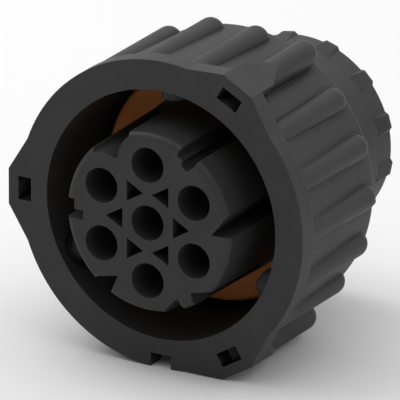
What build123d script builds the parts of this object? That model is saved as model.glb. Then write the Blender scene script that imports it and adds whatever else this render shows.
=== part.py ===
from build123d import *
import os
from math import atan2, cos, degrees, hypot, radians, sin, sqrt

os.makedirs("parts", exist_ok=True)

# Millimetres. +Y runs along the axis from the mating face to the wires, +Z is up, and the origin is on
# the axis in the front face of the coupling ring. Angles turn from +X towards +Z, seen from the front.

# Contact layout: one contact in the middle and six round it
contact_pitch = 8.0
outer_contacts = 6
first_contact_angle = 30

# Core of the contact body, its contact entries and its cored pockets
core_protrusion = 3.39
core_wall = 2.18
core_draft = 0.3
core_edge_radius = 0.9
entry_radius = 2.42
entry_depth = 7.0
guide_radius = 1.5
guide_thickness = 0.8
cavity_radius = 2.25
core_rear_depth = 1.8
pocket_reach = 1.68
pocket_depth = 12.0

# Keyways down the outside of the core: corners as depth below its surface and angle
scoop_wall = 2.08
scoop_depth = 3.2
scoop_angles = (104, 134)
keyway_overrun = 1.0
stepped_slot = (
    (-keyway_overrun, 66), (1.6, 66.5), (1.7, 61.3), (2.5, 60.2), (2.6, 54.4), (1.5, 52.2),
    (-keyway_overrun, 52.6),
)
slanted_groove = ((3.05, 0), (-keyway_overrun, 0), (-keyway_overrun, 18.5))
opposite_slot = (
    (2.8, 187.8), (-keyway_overrun, 185.6), (-keyway_overrun, 174.1), (1.5, 172.7), (1.6, 180), (2.9, 180),
)
saw_notches = (
    ((0.9, 228.6), (3.35, 241.2), (-keyway_overrun, 242.7), (-keyway_overrun, 228.6)),
    ((0.6, 282), (1.8, 292), (1.8, 295), (-keyway_overrun, 296.3), (-keyway_overrun, 282)),
    ((0.6, 304), (1.9, 307), (0.5, 319), (-keyway_overrun, 319), (-keyway_overrun, 304)),
)

# Coupling ring
gap_width = 4.6
flange_rim = 4.1
flange_thickness = 2.8
cone_step = 0.85
ring_side_wall = 2.45
rim_radius = 0.8
ring_length = 22.2
ring_wall = 2.9

# Three ears of the flange, each with a window and a side slot for a sealing wire
ear_angles = (60, 180, 300)
ear_height = 1.67
ear_half_width = 2.45
ear_straight = 5.8
ear_length = 10.4
ear_nose_half_width = 0.2
ear_flare_angle = 19.5
window_inset = 0.76
window_height = 1.96
window_width = 3.28
wire_slot_length = 2.7
wire_slot_overrun = 1.2

# Grip ribs along the outside of the ring; those behind the ears are as tall as the ears
rib_count = 18
rib_step = 0.05
rib_radius = 1.85
rib_setback = 1.3

# Key notch in the rim of the flange
notch_angle = -90
notch_width = 3.1
notch_depth = 1.94

# Round bayonet lugs on the inside of the mouth
lug_angles = (90.5, 210, 330)
lug_height = 2.2
lug_station = 4.2
lug_foot_radius = 2.05
lug_tip_edge_radius = 1.8
lug_tip_chamfer = 0.3
lug_bite = 0.5

# Turning stops between the ring and the body
turn_range = 60
key_angles = (90, 210, 330)
key_width_angle = 8
key_height = 0.95
key_length = 2.5
key_clearance = 0.2
stop_clearance_angle = 0.8

# Shoulder and rear barrel of the contact body
shoulder_clearance = 1.2
shoulder_thickness = 2.8
shoulder_notch_clearance = 0.6
washer_room = 1.1
cavity_edge = 1.25
barrel_wall = 1.9
barrel_reach = 15.9
barrel_edge_chamfer = 0.3
journal_step = 0.35
journal_clearance = 0.15
pad_count = 13
first_pad_angle = 15.7
pad_width = 2.85
pad_height = 0.4
pad_length = 3.3
pad_ramp = 2.4
pad_root = 0.15

# Interface seal at the floor of the gap
seal_thickness = 1.4
seal_clearance = 1.0
seal_edge = 0.4
seal_gap = 0.05

# Spring washer, bent round one line
washer_thickness = 0.4
washer_bend = 0.5
washer_seat_gap = 0.05
washer_side_gap = 0.2

# Retaining clip in its groove behind the ring
clip_thickness = 1.0
clip_overlap = 1.4
clip_groove_depth = 0.85
clip_side_gap = 0.1
clip_opening_angle = 16
clip_ear_radius = 1.3
clip_ear_hole_radius = 0.55
clip_angle = -90

# Secondary lock behind the core
lock_seat_gap = 0.2
lock_thickness = 1.8
lock_leg_count = 3
lock_leg_width_angle = 26
lock_leg_thickness = 1.2
inner_clearance = 0.2

# Wire grommet
grommet_length = 5.0
grommet_rib_count = 3
grommet_rib_height = 0.45
grommet_rib_crest = 0.3
grommet_bore_radius = 1.1
grommet_mouth_radius = 1.6
grommet_mouth_depth = 0.8

# Grommet retainer, snapped into a groove of the barrel
retainer_front_gap = 0.2
retainer_thickness = 2.0
retainer_hole_radius = 2.6
retainer_rim_height = 1.2
retainer_rim_width = 0.6
retainer_recess = 0.9
nib_count = 3
nib_height = 0.45
nib_length = 0.8
nib_width_angle = 24

# Socket contacts for a round pin
pin_radius = 1.25
pin_clearance = 0.02
socket_bore_depth = 8.5
socket_wall = 0.43
socket_lead_in = 0.25
tine_slot_width = 0.35
tine_slot_length = 6.5
collar_clearance = 0.18
collar_thickness = 1.0
contact_seat_gap = 0.2
crimp_radius = 1.55
crimp_bore_radius = 1.1
crimp_length = 7.6
crimp_bore_depth = 5.6
crimp_sight_radius = 0.35
crimp_sight_inset = 1.0

# Steel sleeves round the sockets, each with two lances
sleeve_gap = 0.04
sleeve_wall = 0.28
sleeve_length = 9.0
lance_front = 4.4
lance_length = 3.2
lance_rise = 0.16
lance_width = 1.3
lance_thickness = 0.22

# Radii that follow, from the middle outwards
socket_bore_radius = pin_radius + pin_clearance
socket_radius = socket_bore_radius + socket_wall
collar_radius = cavity_radius - collar_clearance
sleeve_inner = socket_radius + sleeve_gap
sleeve_outer = sleeve_inner + sleeve_wall
barrel_bore_radius = contact_pitch + cavity_radius + cavity_edge
inner_radius = barrel_bore_radius - inner_clearance
grommet_core_radius = barrel_bore_radius - grommet_rib_height
barrel_radius = barrel_bore_radius + barrel_wall
journal_radius = barrel_radius + journal_step
ring_bore_radius = journal_radius + journal_clearance
key_radius = journal_radius + key_height
clip_inner = journal_radius - clip_groove_depth + clip_side_gap
clip_outer = ring_bore_radius + clip_overlap
core_radius = contact_pitch + entry_radius + core_wall
mouth_radius = core_radius + gap_width
lug_tip_radius = mouth_radius - lug_height
shoulder_radius = mouth_radius - shoulder_clearance
seal_outer_radius = mouth_radius - seal_clearance
cone_rear_radius = mouth_radius + ring_side_wall
flange_radius = mouth_radius + flange_rim
cone_front_radius = flange_radius - cone_step
rib_crest_radius = flange_radius - rib_step
rib_axis_radius = rib_crest_radius - rib_radius
window_radius = flange_radius - window_inset
ear_reach = flange_radius + ear_height
ear_root = mouth_radius + ring_side_wall / 2
ear_rib_axis_radius = ear_reach - rib_radius

# Stations that follow, from front to rear
core_front = -core_protrusion
guide_front = core_front + entry_depth
cavity_front = guide_front + guide_thickness
contact_front = cavity_front + contact_seat_gap
wall_front = ring_length - ring_wall
shoulder_back = wall_front - washer_room
shoulder_front = shoulder_back - shoulder_thickness
seal_front = shoulder_front - seal_thickness
core_back = shoulder_back + core_rear_depth
collar_front = core_back - collar_thickness
crimp_end = core_back + crimp_length
lock_front = core_back + lock_seat_gap
lock_back = lock_front + lock_thickness
rib_end = ring_length - rib_setback
groove_front = ring_length + clip_side_gap / 2
groove_back = groove_front + clip_thickness + clip_side_gap
barrel_end = ring_length + barrel_reach
pad_back = barrel_end - barrel_edge_chamfer
pad_front = barrel_end - pad_length
retainer_back = barrel_end - retainer_recess - retainer_rim_height
retainer_front = retainer_back - retainer_thickness
nib_front = retainer_front + (retainer_thickness - nib_length) / 2
nib_back = nib_front + nib_length
grommet_back = retainer_front - retainer_front_gap
grommet_front = grommet_back - grommet_length


def polar(radius, angle):
    return (radius * cos(radians(angle)), radius * sin(radians(angle)))


outer_angles = [first_contact_angle + 360 / outer_contacts * number for number in range(outer_contacts)]
contact_places = [(0.0, 0.0)] + [polar(contact_pitch, angle) for angle in outer_angles]


def across(station):
    """Plane square to the axis at a station, seen from the front, with X to the right and Z up."""
    return Plane.XZ.offset(-station)


def along(place):
    """Plane that holds the axis line through a place, for profiles of radius and station."""
    return Plane(origin=(place[0], 0, place[1]), x_dir=(1, 0, 0), z_dir=(0, 0, 1))


def axis_at(place):
    """Line parallel to the axis through a place."""
    return Axis((place[0], 0, place[1]), (0, 1, 0))


def turned(angle):
    """What is made at angle 0 goes to this angle round the axis."""
    return Location((0, 0, 0), (0, -angle, 0))


def profile(points):
    """Closed outline through the points, filled."""
    with BuildLine() as outline:
        Polyline(*points, close=True)
    make_face(outline.edges())


def arc_band(inner, outer, start, stop):
    """Part of a flat ring between two radii and two angles."""
    with BuildLine() as outline:
        CenterArc((0, 0), outer, start, stop - start)
        CenterArc((0, 0), inner, start, stop - start)
        Line(polar(inner, start), polar(outer, start))
        Line(polar(inner, stop), polar(outer, stop))
    make_face(outline.edges())


def tube(part_plane, part_axis, inner, outer, front, back):
    """Revolved tube between two stations."""
    with BuildSketch(part_plane) as section:
        profile([(inner, front), (outer, front), (outer, back), (inner, back)])
    revolve(section.sketch, axis=part_axis)


def domed_bar(axis_radius):
    """Round bar along the ring at angle 0, with a domed rear end."""
    with BuildSketch(Plane.XY) as section:
        with BuildLine() as outline:
            Polyline(
                (axis_radius, rib_end),
                (axis_radius, flange_thickness / 2),
                (axis_radius + rib_radius, flange_thickness / 2),
                (axis_radius + rib_radius, rib_end - rib_radius),
            )
            CenterArc((axis_radius, rib_end - rib_radius), rib_radius, 0, 90)
        make_face(outline.edges())
    revolve(section.sketch, axis=axis_at((axis_radius, 0)))


# One ear, made at angle 0: a block that narrows to a point on the taller grip rib behind it
with BuildPart() as ear:
    with BuildSketch(Plane.YZ.offset(ear_root)):
        profile([
            (0, -ear_half_width),
            (ear_straight, -ear_half_width),
            (ear_length, -ear_nose_half_width),
            (ear_length, ear_nose_half_width),
            (ear_straight, ear_half_width),
            (0, ear_half_width),
        ])
    extrude(amount=ear_reach - ear_root)
    with BuildSketch(Plane.YZ.offset(ear_root)):
        with Locations((rib_end - rib_radius, 0)):
            Circle(rib_radius)
            Rectangle(rib_end - rib_radius - ear_straight, 2 * rib_radius, align=(Align.MAX, Align.CENTER))
    extrude(amount=ear_rib_axis_radius - ear_root)
    domed_bar(ear_rib_axis_radius)

# One grip rib, made at angle 0
with BuildPart() as rib:
    domed_bar(rib_axis_radius)

# One bayonet lug, made at angle 0: a round stud that points at the axis and narrows to its tip
with BuildPart() as lug:
    with BuildSketch(Plane.XY):
        profile([
            (lug_tip_radius, lug_station),
            (lug_tip_radius, lug_station + lug_tip_edge_radius - lug_tip_chamfer),
            (lug_tip_radius + lug_tip_chamfer, lug_station + lug_tip_edge_radius),
            (mouth_radius + lug_bite, lug_station + lug_foot_radius),
            (mouth_radius + lug_bite, lug_station),
        ])
    revolve(axis=Axis((0, lug_station, 0), (1, 0, 0)))

# Coupling ring: a flanged cone with ears, ribs, lugs and a wall at the rear that turns on the body
corner_angle = degrees(atan2(ear_half_width, ear_reach))
corner_radius = hypot(ear_reach, ear_half_width)
rib_angles = [360 / rib_count * number for number in range(rib_count)]
with BuildPart() as coupling_ring:
    with BuildSketch(Plane.XY) as ring_section:
        profile([
            (mouth_radius, 0),
            (flange_radius, 0),
            (flange_radius, flange_thickness),
            (cone_front_radius, flange_thickness),
            (cone_rear_radius, ring_length),
            (ring_bore_radius, ring_length),
            (ring_bore_radius, wall_front),
            (mouth_radius, wall_front),
        ])
        fillet(ring_section.vertices().group_by(Axis.Y)[-1].sort_by(Axis.X)[-1:], rim_radius)
    revolve(axis=Axis.Y)
    with BuildSketch(across(0)):
        for angle in ear_angles:
            profile([
                polar(ear_root, angle - ear_flare_angle),
                polar(flange_radius, angle - ear_flare_angle),
                polar(corner_radius, angle - corner_angle),
                polar(corner_radius, angle + corner_angle),
                polar(flange_radius, angle + ear_flare_angle),
                polar(ear_root, angle + ear_flare_angle),
                polar(ear_root, angle),
            ])
    extrude(amount=-flange_thickness)
    with Locations([turned(angle) for angle in ear_angles]):
        add(ear.part)
    with Locations([turned(angle) for angle in rib_angles if angle not in ear_angles]):
        add(rib.part)
    # Windows in the ears, each with a slot to its clockwise side behind the flange
    for angle in ear_angles:
        window = Location((*polar(window_radius, angle), 0), (0, 0, angle))
        with BuildSketch(across(0)):
            with Locations(window):
                Rectangle(window_height, window_width)
        extrude(amount=-(flange_thickness + wire_slot_length), mode=Mode.SUBTRACT)
        with BuildSketch(across(flange_thickness)):
            with Locations(window):
                Rectangle(window_height, ear_half_width + wire_slot_overrun, align=(Align.CENTER, Align.MAX))
        extrude(amount=-wire_slot_length, mode=Mode.SUBTRACT)
    # Key notch in the rim
    with BuildSketch(across(0)):
        with Locations(Location((*polar(flange_radius - notch_depth, notch_angle), 0), (0, 0, notch_angle))):
            Rectangle(2 * notch_depth, notch_width, align=(Align.MIN, Align.CENTER))
    extrude(amount=-flange_thickness, mode=Mode.SUBTRACT)
    with Locations([turned(angle) for angle in lug_angles]):
        add(lug.part)
    with BuildSketch(across(wall_front)):
        for angle in key_angles:
            half_key = key_width_angle / 2 + stop_clearance_angle
            arc_band(barrel_radius, key_radius + key_clearance, angle - half_key,
                     angle + half_key + turn_range)
    extrude(amount=-ring_wall, mode=Mode.SUBTRACT)
coupling_ring.part.label = "coupling_ring"
export_step(coupling_ring.part, "parts/coupling_ring.step")

# One pad of the barrel, made at angle 0: a low tooth with sloping sides, which rises along a ramp
with BuildPart() as pad:
    with BuildSketch(Plane.XY):
        profile([
            (barrel_radius - pad_root, pad_front),
            (barrel_radius, pad_front),
            (barrel_radius + pad_height, pad_front + pad_ramp),
            (barrel_radius + pad_height, pad_back),
            (barrel_radius - pad_root, pad_back),
        ])
    extrude(amount=pad_width / 2, both=True)
    with BuildSketch(across(pad_front)):
        profile([
            (barrel_radius - pad_root, -pad_width / 2),
            (barrel_radius + pad_height, -pad_width / 2 + pad_height + pad_root),
            (barrel_radius + pad_height, pad_width / 2 - pad_height - pad_root),
            (barrel_radius - pad_root, pad_width / 2),
        ])
    extrude(amount=-(pad_back - pad_front), mode=Mode.INTERSECT)

# Contact body: core with keyways and cavities, shoulder with assembly notches, barrel with stop keys,
# clip groove and end pads
with BuildPart() as contact_body:
    with BuildSketch(Plane.XY) as body_section:
        profile([
            (0, core_front),
            (core_radius - core_draft, core_front),
            (core_radius, seal_front),
            (core_radius, shoulder_front),
            (shoulder_radius, shoulder_front),
            (shoulder_radius, shoulder_back),
            (journal_radius, shoulder_back),
            (journal_radius, groove_front),
            (journal_radius - clip_groove_depth, groove_front),
            (journal_radius - clip_groove_depth, groove_back),
            (barrel_radius, groove_back),
            (barrel_radius, barrel_end - barrel_edge_chamfer),
            (barrel_radius - barrel_edge_chamfer, barrel_end),
            (barrel_bore_radius, barrel_end),
            (barrel_bore_radius, core_back),
            (0, core_back),
        ])
        fillet(body_section.vertices().group_by(Axis.Y)[0].sort_by(Axis.X)[-1:], core_edge_radius)
    revolve(axis=Axis.Y)
    # Stop keys on the journal
    with BuildSketch(across(wall_front + key_clearance)):
        for angle in key_angles:
            arc_band(barrel_radius, key_radius, angle - key_width_angle / 2, angle + key_width_angle / 2)
    extrude(amount=-key_length)
    # Raised pads at the end of the barrel
    with Locations([turned(first_pad_angle + 360 / pad_count * number) for number in range(pad_count)]):
        add(pad.part)
    # Keyways down the outside of the core, each a different shape
    with BuildSketch(across(core_front)):
        arc_band(core_radius - scoop_depth, core_radius + keyway_overrun, *scoop_angles)
        with Locations(contact_places[2], contact_places[3]):
            Circle(entry_radius + scoop_wall, mode=Mode.SUBTRACT)
        for keyway in (stepped_slot, slanted_groove, opposite_slot, *saw_notches):
            profile([polar(core_radius - depth, angle) for depth, angle in keyway])
    extrude(amount=-(seal_front - core_front), mode=Mode.SUBTRACT)
    # Cored pockets between the contact towers
    with BuildSketch(across(core_front)):
        for angle in outer_angles:
            middle = angle + 180 / outer_contacts
            with Locations(Location((*polar(contact_pitch / sqrt(3), middle), 0), (0, 0, middle))):
                RegularPolygon(pocket_reach, 3)
    extrude(amount=-pocket_depth, mode=Mode.SUBTRACT)
    # Contact cavities: wide entry, narrow guide for the pin, cavity open to the rear
    with BuildSketch(across(core_front)):
        with Locations(*contact_places):
            Circle(entry_radius)
    extrude(amount=-entry_depth, mode=Mode.SUBTRACT)
    with BuildSketch(across(guide_front)):
        with Locations(*contact_places):
            Circle(guide_radius)
    extrude(amount=-guide_thickness, mode=Mode.SUBTRACT)
    with BuildSketch(across(cavity_front)):
        with Locations(*contact_places):
            Circle(cavity_radius)
    extrude(amount=-(core_back - cavity_front), mode=Mode.SUBTRACT)
    # Notches that let the shoulder pass the bayonet lugs when the ring is fitted
    with BuildSketch(across(shoulder_front)):
        for angle in lug_angles:
            half_notch = degrees((lug_foot_radius + shoulder_notch_clearance) / lug_tip_radius)
            arc_band(lug_tip_radius - shoulder_notch_clearance, mouth_radius, angle - half_notch,
                     angle + half_notch)
    extrude(amount=-shoulder_thickness, mode=Mode.SUBTRACT)
    # Groove inside the barrel for the retainer's snap nibs
    nib_groove_radius = inner_radius + nib_height + inner_clearance
    with BuildSketch(Plane.XY):
        profile([
            (inner_radius, nib_front - inner_clearance),
            (nib_groove_radius, nib_front - inner_clearance),
            (nib_groove_radius, nib_back + inner_clearance),
            (inner_radius, nib_back + inner_clearance),
        ])
    revolve(axis=Axis.Y, mode=Mode.SUBTRACT)
contact_body.part.label = "contact_body"
export_step(contact_body.part, "parts/contact_body.step")

# Interface seal: a flat silicone ring with a rounded outer edge
with BuildPart() as interface_seal:
    with BuildSketch(Plane.XY):
        profile([
            (core_radius + seal_gap, shoulder_front - seal_gap),
            (core_radius + seal_gap, seal_front),
            (seal_outer_radius - seal_edge, seal_front),
            (seal_outer_radius, seal_front + seal_edge),
            (seal_outer_radius, shoulder_front - seal_gap),
        ])
    revolve(axis=Axis.Y)
interface_seal.part.label = "interface_seal"
export_step(interface_seal.part, "parts/interface_seal.step")

# Spring washer: a flat ring bent round a line, resting on the shoulder and reaching for the ring's wall
washer_inner = journal_radius + washer_side_gap
washer_outer = shoulder_radius - washer_side_gap
washer_low = shoulder_back + washer_seat_gap
washer_high = washer_low + washer_bend
with BuildPart() as spring_washer:
    with BuildSketch(Plane.XY):
        with BuildLine():
            front = ThreePointArc((-washer_outer, washer_high), (0, washer_low), (washer_outer, washer_high))
            back = ThreePointArc(
                (-washer_outer, washer_high + washer_thickness),
                (0, washer_low + washer_thickness),
                (washer_outer, washer_high + washer_thickness),
            )
            Line(front @ 0, back @ 0)
            Line(front @ 1, back @ 1)
        make_face()
    extrude(amount=washer_outer, both=True)
    with BuildSketch(across(shoulder_back)):
        Circle(washer_outer)
        Circle(washer_inner, mode=Mode.SUBTRACT)
    extrude(amount=-washer_room, mode=Mode.INTERSECT)
spring_washer.part.label = "spring_washer"
export_step(spring_washer.part, "parts/spring_washer.step")

# Retaining clip: an open snap ring with two eared ends
clip_middle = (clip_inner + clip_outer) / 2
clip_ear_angle = clip_opening_angle / 2 + degrees(clip_ear_radius / clip_middle)
with BuildPart() as retaining_clip:
    with BuildSketch(across(groove_front + clip_side_gap / 2)):
        arc_band(clip_inner, clip_outer, clip_angle + clip_opening_angle / 2,
                 clip_angle + 360 - clip_opening_angle / 2)
        for side in (-1, 1):
            with Locations(polar(clip_middle + clip_ear_radius / 2, clip_angle + side * clip_ear_angle)):
                Circle(clip_ear_radius)
                Circle(clip_ear_hole_radius, mode=Mode.SUBTRACT)
    extrude(amount=-clip_thickness)
retaining_clip.part.label = "retaining_clip"
export_step(retaining_clip.part, "parts/retaining_clip.step")

# Secondary lock: a drilled plate on three legs that the grommet holds against the core
with BuildPart() as secondary_lock:
    with BuildSketch(across(lock_front)):
        Circle(inner_radius)
        with Locations(*contact_places):
            Circle(crimp_radius + inner_clearance, mode=Mode.SUBTRACT)
    extrude(amount=-lock_thickness)
    with BuildSketch(across(lock_back)):
        for number in range(lock_leg_count):
            middle = 360 / lock_leg_count * number
            arc_band(inner_radius - lock_leg_thickness, inner_radius, middle - lock_leg_width_angle / 2,
                     middle + lock_leg_width_angle / 2)
    extrude(amount=-(grommet_front - inner_clearance - lock_back))
secondary_lock.part.label = "secondary_lock"
export_step(secondary_lock.part, "parts/secondary_lock.step")

# Wire grommet: a silicone plug with sealing ribs round it and a bore with a countersunk mouth per wire
with BuildPart() as wire_grommet:
    ribbed_side = []
    for number in range(grommet_rib_count):
        station = grommet_front + grommet_length * (number + 0.5) / grommet_rib_count
        ribbed_side += [
            (grommet_core_radius, station - grommet_rib_height),
            (barrel_bore_radius - seal_gap, station - grommet_rib_crest / 2),
            (barrel_bore_radius - seal_gap, station + grommet_rib_crest / 2),
            (grommet_core_radius, station + grommet_rib_height),
        ]
    with BuildSketch(Plane.XY):
        profile([
            (0, grommet_front),
            (grommet_core_radius, grommet_front),
            *ribbed_side,
            (grommet_core_radius, grommet_back),
            (0, grommet_back),
        ])
    revolve(axis=Axis.Y)
    with BuildSketch(across(grommet_front)):
        with Locations(*contact_places):
            Circle(grommet_bore_radius)
    extrude(amount=-grommet_length, mode=Mode.SUBTRACT)
    for place in contact_places:
        with BuildSketch(along(place)):
            profile([
                (0, grommet_back),
                (grommet_mouth_radius, grommet_back),
                (grommet_bore_radius, grommet_back - grommet_mouth_depth),
                (0, grommet_back - grommet_mouth_depth),
            ])
        revolve(axis=axis_at(place), mode=Mode.SUBTRACT)
wire_grommet.part.label = "wire_grommet"
export_step(wire_grommet.part, "parts/wire_grommet.step")

# Grommet retainer: a drilled plate with a raised rim and three snap nibs
with BuildPart() as grommet_retainer:
    tube(Plane.XY, Axis.Y, 0, inner_radius, retainer_front, retainer_back)
    tube(Plane.XY, Axis.Y, inner_radius - retainer_rim_width, inner_radius, retainer_back,
         retainer_back + retainer_rim_height)
    with BuildSketch(across(nib_front)):
        for number in range(nib_count):
            middle = 360 / nib_count * number
            arc_band(inner_radius - retainer_rim_width, inner_radius + nib_height,
                     middle - nib_width_angle / 2, middle + nib_width_angle / 2)
    extrude(amount=-nib_length)
    with BuildSketch(across(retainer_front)):
        with Locations(*contact_places):
            Circle(retainer_hole_radius)
    extrude(amount=-retainer_thickness, mode=Mode.SUBTRACT)
grommet_retainer.part.label = "grommet_retainer"
export_step(grommet_retainer.part, "parts/grommet_retainer.step")

for number, place in enumerate(contact_places, 1):
    # Socket contact: slotted tines in front, a collar against the lock, a crimp barrel at the rear
    with BuildPart() as contact:
        with BuildSketch(along(place)):
            profile([
                (socket_bore_radius + socket_lead_in, contact_front),
                (socket_radius, contact_front),
                (socket_radius, collar_front),
                (collar_radius, collar_front),
                (collar_radius, core_back),
                (crimp_radius, core_back),
                (crimp_radius, crimp_end),
                (crimp_bore_radius, crimp_end),
                (crimp_bore_radius, crimp_end - crimp_bore_depth),
                (0, crimp_end - crimp_bore_depth),
                (0, contact_front + socket_bore_depth),
                (socket_bore_radius, contact_front + socket_bore_depth),
                (socket_bore_radius, contact_front + socket_lead_in),
            ])
        revolve(axis=axis_at(place))
        with BuildSketch(across(contact_front)):
            with Locations(place):
                Rectangle(2 * collar_radius, tine_slot_width)
                Rectangle(tine_slot_width, 2 * collar_radius)
        extrude(amount=-tine_slot_length, mode=Mode.SUBTRACT)
        sight_station = crimp_end - crimp_bore_depth + crimp_sight_inset
        with BuildSketch(Plane(origin=(place[0], sight_station, place[1]))):
            Circle(crimp_sight_radius)
        extrude(amount=crimp_radius, mode=Mode.SUBTRACT)
    contact.part.label = f"contact_{number}"
    export_step(contact.part, f"parts/contact_{number}.step")

    # Steel sleeve with two locking lances bent outwards
    with BuildPart() as sleeve:
        tube(along(place), axis_at(place), sleeve_inner, sleeve_outer, contact_front,
             contact_front + sleeve_length)
        lance_start = contact_front + lance_front
        lance_stop = lance_start + lance_length
        with BuildSketch(across(lance_start)):
            with Locations(place):
                Rectangle(2 * collar_radius, lance_width + 2 * lance_thickness)
                Circle(sleeve_inner, mode=Mode.SUBTRACT)
        extrude(amount=-lance_length, mode=Mode.SUBTRACT)
        for side in (-1, 1):
            with BuildSketch(along(place)):
                profile([
                    (side * sleeve_inner, lance_start - lance_thickness),
                    (side * (sleeve_inner + lance_thickness), lance_start - lance_thickness),
                    (side * (sleeve_inner + lance_thickness + lance_rise), lance_stop - lance_thickness),
                    (side * (sleeve_inner + lance_rise), lance_stop - lance_thickness),
                ])
            extrude(amount=lance_width / 2, both=True)
    sleeve.part.label = f"contact_spring_{number}"
    export_step(sleeve.part, f"parts/contact_spring_{number}.step")
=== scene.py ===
"""Looks of a circular bayonet connector socket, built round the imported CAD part. Metres, in its frame."""

from math import cos, radians, sin

import bpy
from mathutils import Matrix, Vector


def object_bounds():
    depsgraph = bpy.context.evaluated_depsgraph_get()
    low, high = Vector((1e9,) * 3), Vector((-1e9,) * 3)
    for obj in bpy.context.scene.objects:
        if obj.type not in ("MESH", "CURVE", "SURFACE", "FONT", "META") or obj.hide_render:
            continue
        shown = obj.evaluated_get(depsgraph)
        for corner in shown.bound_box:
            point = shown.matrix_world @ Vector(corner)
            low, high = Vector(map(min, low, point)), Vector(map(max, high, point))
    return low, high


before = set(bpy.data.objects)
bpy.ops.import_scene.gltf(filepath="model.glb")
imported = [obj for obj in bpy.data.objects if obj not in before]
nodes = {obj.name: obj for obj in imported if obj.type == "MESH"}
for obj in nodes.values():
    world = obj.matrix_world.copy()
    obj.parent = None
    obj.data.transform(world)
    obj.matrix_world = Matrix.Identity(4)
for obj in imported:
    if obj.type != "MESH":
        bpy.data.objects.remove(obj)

cad_box = [list(corner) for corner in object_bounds()]
MM = 0.001


# ---- Coupling ring ----
# One moulding in black glass-filled nylon with a fine spark-eroded finish, held on the body by the clip and
# turned by its ribs. Its edges are painted a little lighter than the faces, a painted highlight, and the
# lines along the foot of the ribs are painted darker, a painted shade.

def moulded_plastic(name, face_colour, highlight_colour, painted_shade_share, roughness, edge_radius):
    """Moulded plastic: drifting colour, fine grain, painted shade in crevices, painted highlight on round
    edges.
    """
    # Painted highlight: where the rounded normal turns away from the flat one, the colour is painted
    # lighter.
    painted_highlight_from, painted_highlight_fully = 0.99, 0.85  # how well the rounded and the flat normal agree
    patch_scale, patch_share = 180, 0.86
    patch_low, patch_high = 0.35, 0.65
    # Painted shade: how far the part's own faces are looked for, and how closed a corner must be to be
    # painted darker.
    painted_shade_reach = 1.2 * MM
    painted_shade_closed, painted_shade_open = 0.72, 0.95
    grain_scale, grain_height, grain_strength = 5200, 0.02 * MM, 0.12
    grain_low, grain_high = 0.3, 0.7
    roughness_swing = 0.05
    first_colour, second_colour, mixed_colour = 6, 7, 2  # the Mix node's sockets of type colour

    material = bpy.data.materials.new(name)
    material.use_nodes = True
    tree = material.node_tree
    shader = tree.nodes["Principled BSDF"]
    place = tree.nodes.new("ShaderNodeTexCoord")

    def noise(scale, detail):
        node = tree.nodes.new("ShaderNodeTexNoise")
        node.inputs["Scale"].default_value = scale
        node.inputs["Detail"].default_value = detail
        tree.links.new(place.outputs["Object"], node.inputs["Vector"])
        return node.outputs["Fac"]

    def remap(value, low, high, to_low, to_high):
        node = tree.nodes.new("ShaderNodeMapRange")
        tree.links.new(value, node.inputs["Value"])
        ends = {"From Min": low, "From Max": high, "To Min": to_low, "To Max": to_high}
        for socket, number in ends.items():
            node.inputs[socket].default_value = number
        return node.outputs["Result"]

    def blend(factor, first, second):
        node = tree.nodes.new("ShaderNodeMix")
        node.data_type = "RGBA"
        tree.links.new(factor, node.inputs["Factor"])
        for number, colour in ((first_colour, first), (second_colour, second)):
            if isinstance(colour, tuple):
                node.inputs[number].default_value = (*colour, 1)
            else:
                tree.links.new(colour, node.inputs[number])
        return node.outputs[mixed_colour]

    def shade(share):
        return tuple(share * channel for channel in face_colour)

    rounded = tree.nodes.new("ShaderNodeBevel")
    rounded.samples = 6
    rounded.inputs["Radius"].default_value = edge_radius
    surface = tree.nodes.new("ShaderNodeNewGeometry")
    agreement = tree.nodes.new("ShaderNodeVectorMath")
    agreement.operation = "DOT_PRODUCT"
    tree.links.new(rounded.outputs["Normal"], agreement.inputs[0])
    tree.links.new(surface.outputs["Normal"], agreement.inputs[1])
    # Painted highlight: mask of the rounded edges, which are painted toward the lighter edge colour.
    painted_highlight = remap(agreement.outputs["Value"], painted_highlight_from, painted_highlight_fully, 0, 1)

    drift = remap(noise(patch_scale, detail=2), patch_low, patch_high, 0, 1)
    # Painted shade: corners, crevices and the feet of the ribs, where the part's own faces close in, are
    # painted darker.
    painted_shade_probe = tree.nodes.new("ShaderNodeAmbientOcclusion")
    painted_shade_probe.samples = 8
    painted_shade_probe.only_local = True
    painted_shade_probe.inputs["Distance"].default_value = painted_shade_reach
    painted_shade_openness = remap(painted_shade_probe.outputs["AO"], painted_shade_closed, painted_shade_open, 0, 1)
    colour = blend(painted_shade_openness, shade(painted_shade_share), blend(drift, face_colour, shade(patch_share)))
    tree.links.new(blend(painted_highlight, colour, highlight_colour), shader.inputs["Base Color"])

    grain = noise(grain_scale, detail=3)
    shine = remap(grain, grain_low, grain_high, roughness - roughness_swing, roughness + roughness_swing)
    tree.links.new(shine, shader.inputs["Roughness"])
    bump = tree.nodes.new("ShaderNodeBump")
    bump.inputs["Strength"].default_value = grain_strength
    bump.inputs["Distance"].default_value = grain_height
    tree.links.new(grain, bump.inputs["Height"])
    tree.links.new(rounded.outputs["Normal"], bump.inputs["Normal"])
    tree.links.new(bump.outputs["Normal"], shader.inputs["Normal"])
    shader.inputs["Specular IOR Level"].default_value = 0.2
    return material


def dress(name, material):
    """Gives a CAD node this material in its object's own slot."""
    piece = nodes[name]
    if not piece.material_slots:
        piece.data.materials.append(material)
    for slot in piece.material_slots:
        slot.link = "OBJECT"
        slot.material = material


ring_plastic = moulded_plastic(
    "ring_plastic",
    face_colour=(0.036, 0.036, 0.036),
    highlight_colour=(0.075, 0.075, 0.075),
    painted_shade_share=0.1,
    roughness=0.5,
    edge_radius=0.15 * MM,
)
dress("coupling_ring", ring_plastic)


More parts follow.
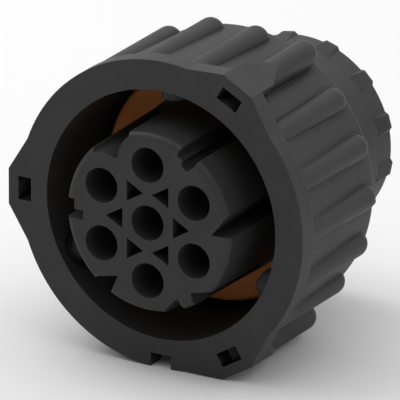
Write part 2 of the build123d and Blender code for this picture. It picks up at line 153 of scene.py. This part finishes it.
# ---- Contact body and grommet retainer ----
# Core, shoulder and barrel are one moulding in black glass-filled PBT. Its bores and pockets come straight
# from polished core pins, so it is a touch darker and smoother than the ring. The retainer is a grid in
# the same plastic that snaps into the barrel's mouth.
body_plastic = moulded_plastic(
    "body_plastic",
    face_colour=(0.035, 0.035, 0.035),
    highlight_colour=(0.065, 0.065, 0.065),
    painted_shade_share=0.8,
    roughness=0.48,
    edge_radius=0.12 * MM,
)
dress("contact_body", body_plastic)
dress("grommet_retainer", body_plastic)


# ---- Interface seal and wire grommet ----
# Both are moulded in orange silicone with a satin skin, and let a little light in. The seal lies at the
# floor of the gap round the core, and the grommet sits in the barrel, pressed round the wires.

def silicone(name, colour, depth):
    """Silicone rubber: deep colour with slight mottling, and light that spreads a little way into it."""
    mottle_scale, mottle_share = 260, 0.8
    first_colour, second_colour, mixed_colour = 6, 7, 2  # the Mix node's sockets of type colour

    material = bpy.data.materials.new(name)
    material.use_nodes = True
    tree = material.node_tree
    shader = tree.nodes["Principled BSDF"]
    place = tree.nodes.new("ShaderNodeTexCoord")
    mottle = tree.nodes.new("ShaderNodeTexNoise")
    mottle.inputs["Scale"].default_value = mottle_scale
    mottle.inputs["Detail"].default_value = 3
    tree.links.new(place.outputs["Object"], mottle.inputs["Vector"])
    mix = tree.nodes.new("ShaderNodeMix")
    mix.data_type = "RGBA"
    mix.inputs[first_colour].default_value = (*colour, 1)
    mix.inputs[second_colour].default_value = (*(mottle_share * channel for channel in colour), 1)
    tree.links.new(mottle.outputs["Fac"], mix.inputs["Factor"])
    tree.links.new(mix.outputs[mixed_colour], shader.inputs["Base Color"])
    shader.inputs["Roughness"].default_value = 0.5
    shader.inputs["Specular IOR Level"].default_value = 0.25
    shader.inputs["Subsurface Weight"].default_value = 0.2
    shader.inputs["Subsurface Radius"].default_value = (1.0, 0.4, 0.15)
    shader.inputs["Subsurface Scale"].default_value = depth
    return material


orange_silicone = silicone("orange_silicone", colour=(0.62, 0.2, 0.045), depth=0.3 * MM)
dress("interface_seal", orange_silicone)
dress("wire_grommet", orange_silicone)


# ---- Secondary lock ----
# A plate with three legs, moulded in natural nylon. It is pushed in behind the contacts to keep them from
# backing out, and the grommet hides it.
lock_plastic = moulded_plastic(
    "lock_plastic",
    face_colour=(0.5, 0.48, 0.42),
    highlight_colour=(0.56, 0.54, 0.48),
    painted_shade_share=0.8,
    roughness=0.5,
    edge_radius=0.1 * MM,
)
dress("secondary_lock", lock_plastic)


# ---- Washer, clip, contacts and sleeves ----
# Washer, clip and sleeves are stamped from rolled spring steel: the washer is bent, the clip snaps into the
# barrel's groove, and each sleeve is rolled round its socket. The contacts are turned and plated.

def metal(name, colour, roughness):
    """Bare or plated metal with fine rolling or turning marks in its roughness."""
    mark_scale = 900
    roughness_swing = 0.04

    material = bpy.data.materials.new(name)
    material.use_nodes = True
    tree = material.node_tree
    shader = tree.nodes["Principled BSDF"]
    shader.inputs["Metallic"].default_value = 1
    shader.inputs["Base Color"].default_value = (*colour, 1)
    place = tree.nodes.new("ShaderNodeTexCoord")
    marks = tree.nodes.new("ShaderNodeTexNoise")
    marks.inputs["Scale"].default_value = mark_scale
    tree.links.new(place.outputs["Object"], marks.inputs["Vector"])
    spread = tree.nodes.new("ShaderNodeMapRange")
    spread.inputs["To Min"].default_value = roughness - roughness_swing
    spread.inputs["To Max"].default_value = roughness + roughness_swing
    tree.links.new(marks.outputs["Fac"], spread.inputs["Value"])
    tree.links.new(spread.outputs["Result"], shader.inputs["Roughness"])
    return material


spring_steel = metal("spring_steel", colour=(0.5, 0.5, 0.5), roughness=0.34)
contact_metal = metal("contact_metal", colour=(0.78, 0.62, 0.33), roughness=0.25)
dress("spring_washer", spring_steel)
dress("retaining_clip", spring_steel)
contact_count = 7
for number in range(1, contact_count + 1):
    dress(f"contact_{number}", contact_metal)
    dress(f"contact_spring_{number}", spring_steel)


# ---- Floor ----
# A pale matt sheet that the socket lies on. It reaches past the view on every side, and where the lamp and
# the dome light it fully it comes out white.
floor_level = cad_box[0][2]
floor_reach = 6.0
floor_mesh = bpy.data.meshes.new("floor")
floor_mesh.from_pydata(
    [(x * floor_reach, y * floor_reach, floor_level) for x, y in ((-1, -1), (1, -1), (1, 1), (-1, 1))],
    [], [(0, 1, 2, 3)],
)
floor = bpy.data.objects.new("floor", floor_mesh)
bpy.context.scene.collection.objects.link(floor)
paper = bpy.data.materials.new("pale_paper")
paper.use_nodes = True
paper_shader = paper.node_tree.nodes["Principled BSDF"]
paper_shader.inputs["Base Color"].default_value = (0.77, 0.77, 0.77, 1)
paper_shader.inputs["Roughness"].default_value = 0.9
paper_shader.inputs["Specular IOR Level"].default_value = 0.1
floor_mesh.materials.append(paper)


# ---- Light ----
# A white dome, brightest above and behind the socket, fills the shadows. One wide soft lamp above and to
# the left of it casts the main shadow to the right.
dome_low = 0.35
dome_high = 1.4
brightest = Vector((0.05, 0.4, 0.9)).normalized()
world = bpy.data.worlds.new("dome")
bpy.context.scene.world = world
world.use_nodes = True
sky_nodes = world.node_tree.nodes
sky_links = world.node_tree.links
sky = sky_nodes["Background"]
sky.inputs["Color"].default_value = (1, 1, 1, 1)
direction = sky_nodes.new("ShaderNodeTexCoord")
towards = sky_nodes.new("ShaderNodeVectorMath")
towards.operation = "DOT_PRODUCT"
towards.inputs[1].default_value = brightest
sky_links.new(direction.outputs["Generated"], towards.inputs[0])
strength = sky_nodes.new("ShaderNodeMapRange")
strength.inputs["To Min"].default_value = dome_low
strength.inputs["To Max"].default_value = dome_high
sky_links.new(towards.outputs["Value"], strength.inputs["Value"])
sky_links.new(strength.outputs["Result"], sky.inputs["Strength"])

lamp_data = bpy.data.lights.new("overhead", "AREA")
lamp_data.shape = "DISK"
lamp_data.size = 0.5
lamp_data.energy = 1.35
lamp = bpy.data.objects.new("overhead", lamp_data)
lamp.location = (-0.36, 0.04, 0.5)
lamp.rotation_euler = (-lamp.location).to_track_quat("-Z", "Y").to_euler()
bpy.context.scene.collection.objects.link(lamp)


# ---- Camera ----
# Stands where the photograph was taken from, fitted to the outline of the flange, ribs and barrel. It is
# far off, with a long lens, because the photograph shows hardly any perspective.
camera_target = Vector((-2.640, 15.0, -3.075)) * MM
camera_distance = 1.8
camera_azimuth = radians(29.761)
camera_elevation = radians(19.998)
camera_data = bpy.data.cameras.new("camera")
camera_data.lens = 1232.3
camera_data.clip_end = 30
camera = bpy.data.objects.new("camera", camera_data)
sight = Vector((
    sin(camera_azimuth) * cos(camera_elevation),
    -cos(camera_azimuth) * cos(camera_elevation),
    sin(camera_elevation),
))
camera.location = camera_target + camera_distance * sight
camera.rotation_euler = (-sight).to_track_quat("-Z", "Y").to_euler()
bpy.context.scene.collection.objects.link(camera)
bpy.context.scene.camera = camera
bpy.context.scene.view_settings.view_transform = "Standard"
